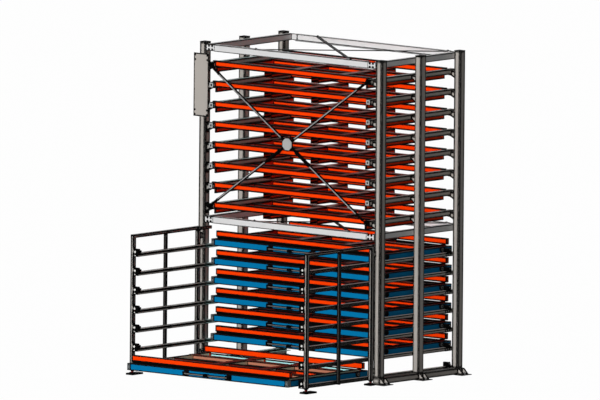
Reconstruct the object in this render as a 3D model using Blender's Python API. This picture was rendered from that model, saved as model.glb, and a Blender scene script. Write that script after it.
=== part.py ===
"""Sheet cassette rack: fork-lift cassettes above, roll-out drawers below, one drawer pulled out."""
import math

import bmesh
import bpy

# Clearance between pieces that rest on each other.
fit_gap = 0.0003
# How far welded members run into each other.
weld_depth = 0.002
# Edges that turn further than this stay sharp.
sharp_angle = math.radians(50.0)

# Main frame.
rack_width = 3.500
post_side = 0.120
post_pitch = 0.880
post_wall = 0.006
post_corner = 0.014
post_lead = 0.022

# Floor bases.
base_height = 0.100
base_wall = 0.006
base_plate_thickness = 0.010
base_plate_reach = 0.130
base_plate_length = 0.220
base_gusset_reach = 0.113
base_gusset_top = 0.035
base_gusset_thickness = 0.010
base_gusset_spread = 0.100

# Cross beams and side beams.
beam_height = 0.104
beam_depth = 0.060
beam_wall = 0.006
beam_setback = 0.004
beam_end_inset = 0.276
beam_middle_headroom = 0.1207
beam_top_headroom = 0.133
end_plate_height = 0.095
end_plate_thickness = 0.010
side_beam_width = 0.060
side_beam_height = 0.098
side_beam_wall = 0.005

# Flat plan braces under the upper flanges of the cross beams.
plan_bar_width = 0.050
plan_bar_thickness = 0.010
plan_first_front_inset = 0.353
plan_first_rear_inset = 0.418
plan_second_front_inset = 0.776
plan_second_rear_inset = 0.032

# Upper rails and their brackets.
upper_count = 8
upper_pitch = 0.297
upper_first_clearance = 0.042
upper_rail_width = 0.082
upper_rail_height = 0.082
upper_rail_wall = 0.005
upper_rail_lead = 0.016
arm_length = 0.085
arm_height = 0.032
arm_depth = 0.050
arm_gusset_height = 0.082
seat_thickness = 0.008

# Lower rails.
lower_count = 7
lower_pitch = 0.2785
lower_rail_lift = 0.022
lower_rail_height = 0.050
lower_rail_wall = 0.005
lower_rail_clearance = 0.004
rear_stop_length = 0.070
rear_stop_height = 0.062
rear_stop_clearance = 0.010

# Drawers.
drawer_side_space = 0.093
drawer_rear_space = 0.018
drawer_height = 0.104
drawer_setback = 0.062
drawer_travel = 1.870
drawer_bar = 0.040
drawer_cross_count = 3
drawer_cross_width = 0.060
drawer_cross_height = 0.036
drawer_cross_lift = 0.012
corner_plate_width = 0.050
corner_plate_thickness = 0.004
corner_plate_return = 0.060

# Drawer handle.
handle_span = 0.888
handle_reach = 0.052
handle_bracket_width = 0.072
handle_bracket_height = 0.060
handle_rod_radius = 0.010
handle_rod_lift = 0.050
handle_clamp_width = 0.100
handle_clamp_height = 0.046

# Drawer wheels.
wheel_radius = 0.043
wheel_width = 0.026
wheel_rear_distance = 0.241
wheel_side_gap = 0.003
axle_radius = 0.010
axle_fit = 0.0004
axle_end = 0.006
wheel_crown = 0.002
wheel_facets = 12

# Cassettes.
cassette_bar_height = 0.092
cassette_bar_depth = 0.050
cassette_wall = 0.004
cassette_runner_height = 0.076
cassette_side_width = 0.028
cassette_side_margin = 0.003
cassette_fork_spread = 0.900
cassette_fork_width = 0.138
upper_slat_count = 2
lower_slat_count = 2
cassette_slat_width = 0.090
cassette_slat_thickness = 0.008
upper_cassette_rear_space = 0.118
upper_cassette_setback = 0.013
upper_cassette_play = 0.003
cassette_lip_reach = 0.045
cassette_lip_thickness = 0.0207
lower_cassette_side_space = 0.0205
lower_cassette_setback = 0.075
lower_cassette_rear_space = 0.005
lower_runner_space = 0.040

# Front ladder frames.
ladder_post_width = 0.055
ladder_post_depth = 0.058
ladder_middle_depth = 0.030
ladder_inset = 0.056
ladder_front = 1.579
ladder_middle = 0.838
ladder_rear = 0.126
ladder_rise = 0.0727
ladder_tie_height = 0.050
ladder_lap_width = 0.045
ladder_link_thickness = 0.012
ladder_link_height = 0.090
ladder_link_distance = 0.095
ladder_bottom = 0.066
ladder_foot_thickness = 0.010
ladder_foot_width = 0.130
ladder_foot_length = 0.240
ladder_toe = 0.040
ladder_rear_toe = 0.046
ladder_foot_space = 0.017
ladder_stem_radius = 0.018
front_stop_length = 0.060
front_stop_height = 0.064

# Front X brace.
rod_radius = 0.013
rod_stand_off = 0.045
hub_radius = 0.095
hub_thickness = 0.012
lug_margin = 0.002
lug_thickness = 0.010
turnbuckle_radius = 0.024
turnbuckle_length = 0.300

# Panel plate.
panel_left_overhang = 0.099
panel_rail_space = 0.021
panel_drop = 0.042
panel_height = 0.931
panel_thickness = 0.010

# Derived places across the rack.
half_width = rack_width / 2
post_inner = half_width - post_side
beam_half = half_width - beam_end_inset
upper_rail_outer = post_inner - arm_length
upper_rail_inner = upper_rail_outer - upper_rail_width
upper_rail_centre = (upper_rail_outer + upper_rail_inner) / 2
upper_half = upper_rail_inner - upper_cassette_play
upper_runner = upper_half - cassette_side_margin
drawer_half_width = post_inner - drawer_side_space
lower_rail_inner = drawer_half_width + corner_plate_thickness + lower_rail_clearance
lower_cassette_half = drawer_half_width - lower_cassette_side_space
lower_runner = drawer_half_width - drawer_bar - lower_runner_space
lug_side = upper_rail_width - lug_margin

# Derived places from front to rear; the front faces of the posts lie at zero.
depth = 2 * post_pitch + post_side
post_rows = [post_side / 2 + row * post_pitch for row in range(3)]
plate_back = beam_setback + end_plate_thickness
plan_bar_inset = beam_setback + beam_wall + plan_bar_width / 2
drawer_depth = depth - drawer_setback - drawer_rear_space
lower_cassette_depth = drawer_depth - lower_cassette_setback - drawer_bar - lower_cassette_rear_space
upper_cassette_depth = depth - upper_cassette_setback - upper_cassette_rear_space
wheel_offset = drawer_depth - wheel_rear_distance
wheel_rest = drawer_setback + wheel_offset
front_most = drawer_setback - drawer_travel - handle_reach
rear_most = post_rows[2] + base_plate_length / 2
centre_shift = -(front_most + rear_most) / 2

# Derived heights, from the floor up.
drawer_bottom = base_height
lower_rail_top = drawer_bottom + lower_rail_lift
wheel_height = lower_rail_top + fit_gap + wheel_radius
lower_bar_centre = (drawer_cross_lift + drawer_cross_height + fit_gap
                    + cassette_runner_height + cassette_bar_height / 2)
lower_stack_top = (drawer_bottom + (lower_count - 1) * lower_pitch
                   + lower_bar_centre + cassette_bar_height / 2)
ladder_top = lower_stack_top + ladder_rise
beam_middle_centre = lower_stack_top + beam_middle_headroom + beam_height / 2
upper_first = (beam_middle_centre + beam_height / 2 + upper_first_clearance
               + cassette_runner_height + cassette_bar_height / 2)
upper_rail_drop = upper_rail_height / 2 + fit_gap + cassette_lip_thickness - cassette_bar_height / 2
upper_stack_top = upper_first + (upper_count - 1) * upper_pitch + cassette_bar_height / 2
beam_top_centre = upper_stack_top + beam_top_headroom + beam_height / 2
post_top = beam_top_centre + beam_height / 2 + post_lead
panel_high = beam_top_centre - beam_height / 2 - panel_drop
panel_low = panel_high - panel_height


def upper_bar_height(level):
    """Height of the bar centre of an upper cassette."""
    return upper_first + level * upper_pitch


def upper_rail_height_at(level):
    """Height of the centre of an upper rail."""
    return upper_bar_height(level) - upper_rail_drop


def clear_scene():
    """Remove whatever the file holds."""
    for item in list(bpy.data.objects):
        bpy.data.objects.remove(item, do_unlink=True)


def paint(name, colour, roughness, metallic):
    """One plain painted or bare surface."""
    material = bpy.data.materials.new(name)
    material.use_nodes = True
    shader = material.node_tree.nodes["Principled BSDF"]
    shader.inputs["Base Color"].default_value = (*colour, 1.0)
    shader.inputs["Roughness"].default_value = roughness
    shader.inputs["Metallic"].default_value = metallic
    material.diffuse_color = (*colour, 1.0)
    return material


def spread(axis, along, first, second):
    """Place an outline point on the plane across the given axis."""
    if axis == "x":
        return (along, first, second)
    if axis == "y":
        return (first, along, second)
    return (first, second, along)


def prism(outline, axis, start, end):
    """A closed outline pulled straight along one axis."""
    return [[spread(axis, start, *point) for point in outline]], spread(axis, end - start, 0.0, 0.0)


def box(low, high):
    """A plain block between two corners."""
    return prism(rectangle(low[0], high[0], low[1], high[1]), "z", low[2], high[2])


def tube(outer, inner, axis, start, end):
    """A hollow section, open at both ends."""
    loops = [[spread(axis, start, *point) for point in outline] for outline in (outer, inner)]
    return loops, spread(axis, end - start, 0.0, 0.0)


def rectangle(low_a, high_a, low_b, high_b):
    """Corner points of a rectangle."""
    return [(low_a, low_b), (high_a, low_b), (high_a, high_b), (low_a, high_b)]


def square_tube(low_a, high_a, low_b, high_b, wall, axis, start, end):
    """A sharp-cornered hollow section."""
    outer = rectangle(low_a, high_a, low_b, high_b)
    inner = rectangle(low_a + wall, high_a - wall, low_b + wall, high_b - wall)
    return tube(outer, inner, axis, start, end)


def rounded_square(centre_a, centre_b, side, radius):
    """A square outline with its corners rounded in two steps."""
    points = []
    reach = side / 2 - radius
    for quarter, (sign_a, sign_b) in enumerate(((1, 1), (-1, 1), (-1, -1), (1, -1))):
        for step in range(3):
            angle = math.pi / 2 * (quarter + step / 2)
            point_a = centre_a + sign_a * reach + radius * math.cos(angle)
            point_b = centre_b + sign_b * reach + radius * math.sin(angle)
            points.append((point_a, point_b))
    return points


def circle(centre_a, centre_b, radius, facets, turn=0.0):
    """A regular outline around a centre."""
    points = []
    for index in range(facets):
        angle = turn + 2 * math.pi * index / facets
        points.append((centre_a + radius * math.cos(angle), centre_b + radius * math.sin(angle)))
    return points


def channel(low_a, high_a, low_b, high_b, wall, open_high):
    """A C section in outline, open toward the high or the low side of its first axis."""
    if open_high:
        return [(low_a, low_b), (high_a, low_b), (high_a, low_b + wall), (low_a + wall, low_b + wall),
                (low_a + wall, high_b - wall), (high_a, high_b - wall), (high_a, high_b), (low_a, high_b)]
    return [(high_a, low_b), (low_a, low_b), (low_a, low_b + wall), (high_a - wall, low_b + wall),
            (high_a - wall, high_b - wall), (low_a, high_b - wall), (low_a, high_b), (high_a, high_b)]


def bar_between(first, second, level, radius, facets):
    """A round bar between two points of an upright plane that faces the front."""
    run = second[0] - first[0]
    rise = second[1] - first[1]
    length = math.hypot(run, rise)
    along = (run / length, rise / length)
    across = (-along[1], along[0])
    loop = []
    for side, out in circle(0.0, 0.0, radius, facets, math.pi / facets):
        loop.append((first[0] + across[0] * side, level + out, first[1] + across[1] * side))
    return [loop], (run, 0.0, rise)


def flat_between(first, second, low, high, width):
    """A flat bar lying level between two plan points."""
    run = second[0] - first[0]
    reach = second[1] - first[1]
    length = math.hypot(run, reach)
    across = (-reach / length * width / 2, run / length * width / 2)
    outline = [(first[0] - across[0], first[1] - across[1]), (second[0] - across[0], second[1] - across[1]),
               (second[0] + across[0], second[1] + across[1]), (first[0] + across[0], first[1] + across[1])]
    return prism(outline, "z", low, high)


def span(side, first, second):
    """Two distances from the middle plane, put in order on one side."""
    return tuple(sorted((side * first, side * second)))


def mirrored(piece, centre):
    """The same piece turned front to back about a plane."""
    loops, shift = piece
    turned = [[(x, 2 * centre - y, z) for x, y, z in loop] for loop in loops]
    return turned, (shift[0], -shift[1], shift[2])


def upright(piece):
    """A level piece stood up so that its height becomes depth."""
    loops, shift = piece
    turned = [[(x, z, y) for x, y, z in loop] for loop in loops]
    return turned, (shift[0], shift[2], shift[1])


def pull(shape, loops, shift):
    """Fill an outline, or the ring between two, and extrude it straight."""
    edges = []
    for loop in loops:
        verts = [shape.verts.new(point) for point in loop]
        edges += [shape.edges.new((verts[index - 1], verts[index])) for index in range(len(verts))]
    if len(loops) == 1:
        faces = [shape.faces.new(verts)]
    else:
        faces = bmesh.ops.bridge_loops(shape, edges=edges)["faces"]
    made = bmesh.ops.extrude_face_region(shape, geom=faces)["geom"]
    moved = [item for item in made if isinstance(item, bmesh.types.BMVert)]
    bmesh.ops.translate(shape, verts=moved, vec=shift)


def raw_mesh(name, pieces):
    """Loose closed shells in one mesh, all facing outward."""
    shape = bmesh.new()
    for loops, shift in pieces:
        pull(shape, loops, shift)
    bmesh.ops.recalc_face_normals(shape, faces=shape.faces)
    mesh = bpy.data.meshes.new(name)
    shape.to_mesh(mesh)
    shape.free()
    return mesh


def welded(name, pieces):
    """One closed body out of pieces that run into each other."""
    if len(pieces) == 1:
        return raw_mesh(name, pieces)
    first = bpy.data.objects.new(name + "_first", raw_mesh(name + "_first", pieces[:1]))
    rest = bpy.data.objects.new(name + "_rest", raw_mesh(name + "_rest", pieces[1:]))
    for item in (first, rest):
        bpy.context.scene.collection.objects.link(item)
        item.hide_render = True
        item.display_type = "WIRE"
    union = first.modifiers.new("union", "BOOLEAN")
    union.operation = "UNION"
    union.solver = "EXACT"
    union.use_self = True
    union.object = rest
    bpy.context.view_layer.update()
    graph = bpy.context.evaluated_depsgraph_get()
    mesh = bpy.data.meshes.new_from_object(first.evaluated_get(graph))
    mesh.name = name
    bpy.data.objects.remove(first, do_unlink=True)
    bpy.data.objects.remove(rest, do_unlink=True)
    shape = bmesh.new()
    shape.from_mesh(mesh)
    bmesh.ops.remove_doubles(shape, verts=shape.verts, dist=0.00002)
    bmesh.ops.dissolve_degenerate(shape, edges=shape.edges, dist=0.00002)
    bmesh.ops.dissolve_limit(shape, angle_limit=0.001, verts=shape.verts, edges=shape.edges)
    bmesh.ops.triangulate(shape, faces=shape.faces)
    bmesh.ops.recalc_face_normals(shape, faces=shape.faces)
    shape.to_mesh(mesh)
    shape.free()
    return mesh


def place(name, mesh, material, parent, location=(0.0, 0.0, 0.0)):
    """Put one named piece into the assembly."""
    mesh.shade_smooth()
    mesh.set_sharp_from_angle(angle=sharp_angle)
    item = bpy.data.objects.new(name, mesh)
    if not mesh.materials:
        mesh.materials.append(material)
    bpy.context.scene.collection.objects.link(item)
    item.location = location
    item.parent = parent
    return item


def post_tube(side, row):
    """The square tube of one post, standing on its base."""
    centre = (side * (half_width - post_side / 2), post_rows[row])
    outer = rounded_square(*centre, post_side, post_corner)
    inner = rounded_square(*centre, post_side - 2 * post_wall, post_corner - post_wall)
    return tube(outer, inner, "z", base_height + fit_gap, post_top)


def bracket(side, row, level, fixed):
    """Bracket arm with its sloping gusset and, where the rail only rests, a seat finger under it."""
    middle = post_rows[row]
    height = upper_rail_height_at(level)
    top = height + arm_height / 2
    seat = height - upper_rail_height / 2 - fit_gap
    root = post_inner + weld_depth
    if fixed:
        end = upper_rail_outer - weld_depth
        outline = [(side * root, top), (side * end, top), (side * end, height - arm_height / 2)]
    else:
        end = upper_rail_outer + fit_gap
        tip = upper_rail_inner
        outline = [(side * root, top), (side * end, top), (side * end, seat), (side * tip, seat),
                   (side * tip, seat - seat_thickness), (side * end, seat - 2 * seat_thickness)]
    outline.append((side * root, height - arm_height / 2 - arm_gusset_height))
    return [prism(outline, "y", middle - arm_depth / 2, middle + arm_depth / 2)]


def corner_post(side, row):
    """Tube and its eight brackets."""
    pieces = [post_tube(side, row)]
    for level in range(upper_count):
        pieces += bracket(side, row, level, False)
    return pieces


def lower_rail(side, outer, start, end, level):
    """One channel rail, open toward the drawers."""
    low, high = span(side, outer, lower_rail_inner)
    top = lower_rail_top + level * lower_pitch
    outline = channel(low, high, top - lower_rail_height, top, lower_rail_wall, side < 0)
    return prism(outline, "y", start, end)


def rail_frame(side):
    """Middle post with every rail of its side."""
    pieces = [post_tube(side, 1)]
    for level in range(upper_count):
        pieces += bracket(side, 1, level, True)
        low, high = span(side, upper_rail_inner, upper_rail_outer)
        height = upper_rail_height_at(level)
        half = upper_rail_height / 2
        pieces.append(square_tube(low, high, height - half, height + half, upper_rail_wall,
                                  "y", -upper_rail_lead, depth))
    for level in range(lower_count):
        pieces.append(lower_rail(side, post_inner - fit_gap, 0.0, depth, level))
        top = lower_rail_top + level * lower_pitch
        low, high = span(side, post_inner + weld_depth, post_inner - fit_gap - weld_depth)
        lug_low = max(top - 0.8 * lower_rail_height, base_height + 2 * fit_gap)
        pieces.append(box((low, post_rows[1] - post_side / 4, lug_low),
                          (high, post_rows[1] + post_side / 4, top - 0.1 * lower_rail_height)))
        low, high = span(side, post_inner - 0.5 * lower_rail_wall, lower_rail_inner)
        front = wheel_rest + wheel_radius + rear_stop_clearance
        outline = [(front, top - weld_depth), (front + rear_stop_length, top - weld_depth),
                   (front + 0.6 * rear_stop_length, top + rear_stop_height),
                   (front, top + rear_stop_height)]
        pieces.append(prism(outline, "x", low, high))
    return pieces


def floor_base(side):
    """Base beam with a plate and a gusset pair at each post."""
    low, high = span(side, post_inner, half_width)
    foot = base_plate_thickness - weld_depth
    pieces = [square_tube(low, high, foot, base_height, base_wall, "y", 0.0, depth)]
    for middle in post_rows:
        low, high = span(side, post_inner, half_width + base_plate_reach)
        half = base_plate_length / 2
        pieces.append(box((low, middle - half, 0.0), (high, middle + half, base_plate_thickness)))
        inside = side * (half_width - weld_depth)
        low_edge = base_plate_thickness - weld_depth
        outline = [(inside, low_edge), (side * (half_width + base_gusset_reach), low_edge),
                   (side * (half_width + base_gusset_reach), 2 * base_plate_thickness),
                   (side * (half_width + base_gusset_top), base_height - weld_depth),
                   (inside, base_height - weld_depth)]
        for sign in (-1, 1):
            centre = middle + sign * base_gusset_spread / 2
            half = base_gusset_thickness / 2
            pieces.append(prism(outline, "y", centre - half, centre + half))
    return pieces


def cross_beam(centre):
    """Channel beam with its two bolted end plates, drawn for the front of the rack."""
    half = beam_height / 2
    outline = channel(beam_setback, beam_setback + beam_depth, centre - half, centre + half,
                      beam_wall, True)
    pieces = [prism(outline, "x", -beam_half, beam_half)]
    for side in (-1, 1):
        low, high = span(side, beam_half - weld_depth, post_inner - weld_depth)
        half = end_plate_height / 2
        front = beam_setback + weld_depth / 4
        pieces.append(box((low, front, centre - half), (high, plate_back, centre + half)))
    return pieces


def side_beam(side, centre):
    """Hollow beam along the inner faces of three posts, between the end plates."""
    low, high = span(side, post_inner - fit_gap, post_inner - fit_gap - side_beam_width)
    half = side_beam_height / 2
    start = plate_back + fit_gap
    return [square_tube(low, high, centre - half, centre + half, side_beam_wall, "y", start, depth - start)]


def plan_brace(centre):
    """Two flat bars crossing in plan, bolted up under the beam flanges."""
    high = centre + beam_height / 2 - beam_wall - fit_gap
    low = high - plan_bar_thickness
    front = plan_bar_inset
    rear = depth - plan_bar_inset
    first_front = beam_half - plan_first_front_inset
    first_rear = -beam_half + plan_first_rear_inset
    second_front = -beam_half + plan_second_front_inset
    second_rear = beam_half - plan_second_rear_inset
    first = flat_between((first_front, front), (first_rear, rear), low, high, plan_bar_width)
    second = flat_between((second_front, front), (second_rear, rear), low, high, plan_bar_width)
    return [first, second]


def brace_points():
    """Rail ends that the front rods run to, and the middle between them."""
    low = upper_rail_height_at(0)
    high = upper_rail_height_at(upper_count - 1)
    return low, high, (0.0, (low + high) / 2)


def brace_rod(side, end_height, middle, start, turnbuckle, fixed):
    """One rod from the hub to the lug on a rail end."""
    end = (side * upper_rail_centre, end_height)
    length = math.hypot(end[0] - middle[0], end[1] - middle[1])
    along = ((end[0] - middle[0]) / length, (end[1] - middle[1]) / length)
    near = (middle[0] + along[0] * start, middle[1] + along[1] * start)
    pieces = [bar_between(near, end, -rod_stand_off, rod_radius, 8)]
    if turnbuckle:
        first = (middle[0] + along[0] * 2 * hub_radius, middle[1] + along[1] * 2 * hub_radius)
        second = (first[0] + along[0] * turnbuckle_length, first[1] + along[1] * turnbuckle_length)
        pieces.append(bar_between(first, second, -rod_stand_off, turnbuckle_radius, 8))
    half = lug_side / 2
    back = -upper_rail_lead - fit_gap
    pieces.append(box((end[0] - half, back - lug_thickness, end[1] - half),
                      (end[0] + half, back, end[1] + half)))
    half = 1.5 * rod_radius
    front = -rod_stand_off - 1.4 * rod_radius
    pieces.append(box((end[0] - half, front, end[1] - half),
                      (end[0] + half, back - lug_thickness + weld_depth, end[1] + half)))
    if not fixed:
        tab_front = -rod_stand_off - rod_radius / 2 + fit_gap
        outward = start + 0.6 * hub_radius
        inward = 0.55 * hub_radius
        far = (middle[0] + along[0] * outward, middle[1] + along[1] * outward)
        close = (middle[0] + along[0] * inward, middle[1] + along[1] * inward)
        tab = flat_between(close, far, tab_front, tab_front + 0.4 * rod_radius, 2.6 * rod_radius)
        pieces.append(upright(tab))
    return pieces


def brace_hub(middle):
    """Round plate with a notch-cornered rim that two of the rods are welded to."""
    back = -rod_stand_off - rod_radius / 2
    outline = circle(middle[0], middle[1], hub_radius, 16)
    return [prism(outline, "y", back - hub_thickness, back)]


def panel_plate():
    """Bare plate on the left front post."""
    left = -half_width - panel_left_overhang
    right = -upper_rail_outer - panel_rail_space
    return [box((left, -panel_thickness - fit_gap, panel_low), (right, -fit_gap, panel_high))]


def ladder(side):
    """Front frame with three posts, a tie lapped onto the rack post, link plates, rails, stops and feet."""
    inner = half_width - ladder_inset - ladder_post_width
    low, high = span(side, inner, half_width - ladder_inset)
    pieces = []
    for front, length in ((ladder_front, ladder_post_depth), (ladder_middle, ladder_middle_depth),
                          (ladder_rear, ladder_post_depth)):
        bottom = ladder_bottom
        if front == ladder_middle:
            bottom = lower_rail_top - lower_rail_height
        pieces.append(box((low, -front, bottom), (high, -front + length, ladder_top - weld_depth)))
    tie_low = ladder_top - ladder_tie_height
    rear_end = -ladder_rear + ladder_post_depth
    pieces.append(box((low - weld_depth / 2, -ladder_front - weld_depth / 2, tie_low),
                      (high + weld_depth / 2, rear_end + weld_depth / 2, ladder_top)))
    lap_outer = post_inner - fit_gap
    lap_inner = lap_outer - ladder_lap_width
    lap = [(side * lap_inner, -ladder_rear), (side * (inner + weld_depth), -ladder_rear),
           (side * (inner + weld_depth), rear_end), (side * lap_outer, rear_end),
           (side * lap_outer, post_side), (side * lap_inner, post_side)]
    pieces.append(prism(lap, "z", tie_low + weld_depth, ladder_top - weld_depth))
    half = ladder_link_thickness / 2
    link_rows = (ladder_bottom + ladder_link_distance,
                 ladder_top - ladder_link_distance - ladder_link_height)
    for bottom in link_rows:
        pieces.append(box(((low + high) / 2 - half, rear_end - weld_depth, bottom),
                          ((low + high) / 2 + half, -fit_gap, bottom + ladder_link_height)))
    for level in range(lower_count):
        pieces.append(lower_rail(side, inner + weld_depth, -ladder_front + weld_depth / 2, -fit_gap, level))
        top = lower_rail_top + level * lower_pitch
        stop_low, stop_high = span(side, inner + 2 * weld_depth, lower_rail_inner)
        outline = [(-ladder_front + weld_depth, top - weld_depth),
                   (-ladder_front + front_stop_length, top - weld_depth),
                   (-ladder_front + 0.6 * front_stop_length, top + front_stop_height),
                   (-ladder_front + weld_depth, top + front_stop_height)]
        pieces.append(prism(outline, "x", stop_low, stop_high))
    middle = (low + high) / 2
    half = ladder_foot_width / 2
    front_end = -ladder_front - ladder_toe + ladder_foot_length
    rear_end = post_rows[0] - base_plate_length / 2 - ladder_foot_space
    feet = ((ladder_front, ladder_toe, front_end), (ladder_rear, ladder_rear_toe, rear_end))
    for front, toe, foot_end in feet:
        centre = -front + ladder_post_depth / 2
        pieces.append(box((middle - half, -front - toe, 0.0),
                          (middle + half, foot_end, ladder_foot_thickness)))
        stem = circle(middle, centre, ladder_stem_radius, 8)
        pieces.append(prism(stem, "z", ladder_foot_thickness - weld_depth, ladder_bottom + weld_depth))
    return pieces


def drawer_body():
    """Drawer frame, corner plates, stub axles and handle; front face and bottom at zero."""
    half = drawer_half_width
    top = drawer_height
    outer = rectangle(-half, half, 0.0, drawer_depth)
    inner = rectangle(-half + drawer_bar, half - drawer_bar, drawer_bar, drawer_depth - drawer_bar)
    pieces = [tube(outer, inner, "z", 0.0, top)]
    for side in (-1, 1):
        wrap = half + corner_plate_thickness
        inside = side * (half - corner_plate_width)
        face = side * (half - weld_depth)
        outline = [(inside, -corner_plate_thickness), (side * wrap, -corner_plate_thickness),
                   (side * wrap, corner_plate_return), (face, corner_plate_return),
                   (face, weld_depth), (inside, weld_depth)]
        pieces.append(prism(outline, "z", weld_depth / 2, top - weld_depth / 2))
        low, high = span(side, half - weld_depth, half + wheel_side_gap + wheel_width + axle_end)
        axle = circle(wheel_offset, wheel_height - drawer_bottom, axle_radius, wheel_facets)
        pieces.append(prism(axle, "x", low, high))
    reach = half - drawer_bar + weld_depth
    step = drawer_depth / drawer_cross_count
    cross_top = drawer_cross_lift + drawer_cross_height
    for index in range(drawer_cross_count):
        centre = step * (index + 0.5)
        pieces.append(box((-reach, centre - drawer_cross_width / 2, drawer_cross_lift),
                          (reach, centre + drawer_cross_width / 2, cross_top)))
    for sign in (-1, 1):
        centre = sign * (handle_span - handle_bracket_width) / 2
        width = handle_bracket_width / 2
        height = handle_bracket_height / 2
        pieces.append(box((centre - width, -handle_reach, handle_rod_lift - height),
                          (centre + width, weld_depth, handle_rod_lift + height)))
    rod_depth = -handle_reach + 1.5 * handle_rod_radius
    end = handle_span / 2 - handle_bracket_width / 2
    pieces.append(bar_between((-end, handle_rod_lift), (end, handle_rod_lift), rod_depth,
                              handle_rod_radius, 8))
    width = handle_clamp_width / 2
    height = handle_clamp_height / 2
    pieces.append(box((-width, rod_depth - 1.3 * handle_rod_radius, handle_rod_lift - height),
                      (width, rod_depth + 1.3 * handle_rod_radius, handle_rod_lift + height)))
    return pieces


def cassette(half, runner, length, slats, lip):
    """Open sheet cassette; bar centre at zero height, front face at zero depth."""
    bar = cassette_bar_height / 2
    lip_low = bar - cassette_lip_thickness
    pieces = []
    for start in (0.0, length - cassette_bar_depth):
        outline = rectangle(-half, half, -bar, bar)
        if lip:
            tip = half + cassette_lip_reach
            outline = [(-half, -bar), (half, -bar), (half, lip_low), (tip, lip_low), (tip, bar),
                       (-tip, bar), (-tip, lip_low), (-half, lip_low)]
        pieces.append(prism(outline, "y", start, start + cassette_bar_depth))
    under = -bar + weld_depth
    foot = -bar - cassette_runner_height
    for side in (-1, 1):
        low, high = span(side, runner - cassette_side_width, runner)
        pieces.append(box((low, weld_depth, foot), (high, length - weld_depth, under)))
        middle = side * cassette_fork_spread / 2
        width = cassette_fork_width / 2
        pieces.append(square_tube(middle - width, middle + width, foot, under, cassette_wall,
                                  "y", weld_depth, length - weld_depth))
    step = (length - 2 * cassette_bar_depth) / slats
    reach = runner - cassette_side_width / 2
    low = under
    width = cassette_slat_width / 2
    for index in range(slats):
        centre = cassette_bar_depth + step * (index + 0.5)
        high = low + cassette_slat_thickness
        pieces.append(box((-reach, centre - width, low), (reach, centre + width, high)))
    return pieces


def wheel_mesh():
    """Wheel with a crowned tread, its section spun about the axle."""
    bore = axle_radius + axle_fit
    half = wheel_width / 2
    shape = bmesh.new()
    section = []
    for along, radius in ((-half, bore), (-half, wheel_radius - wheel_crown), (0.0, wheel_radius),
                          (half, wheel_radius - wheel_crown), (half, bore)):
        section.append(shape.verts.new((along, 0.0, radius)))
    edges = [shape.edges.new((section[index - 1], section[index])) for index in range(len(section))]
    bmesh.ops.spin(shape, geom=section + edges, axis=(1.0, 0.0, 0.0), cent=(0.0, 0.0, 0.0),
                   angle=2 * math.pi, steps=wheel_facets, use_merge=True)
    bmesh.ops.remove_doubles(shape, verts=shape.verts, dist=0.00002)
    bmesh.ops.recalc_face_normals(shape, faces=shape.faces)
    mesh = bpy.data.meshes.new("wheel")
    shape.to_mesh(mesh)
    shape.free()
    return mesh


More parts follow.
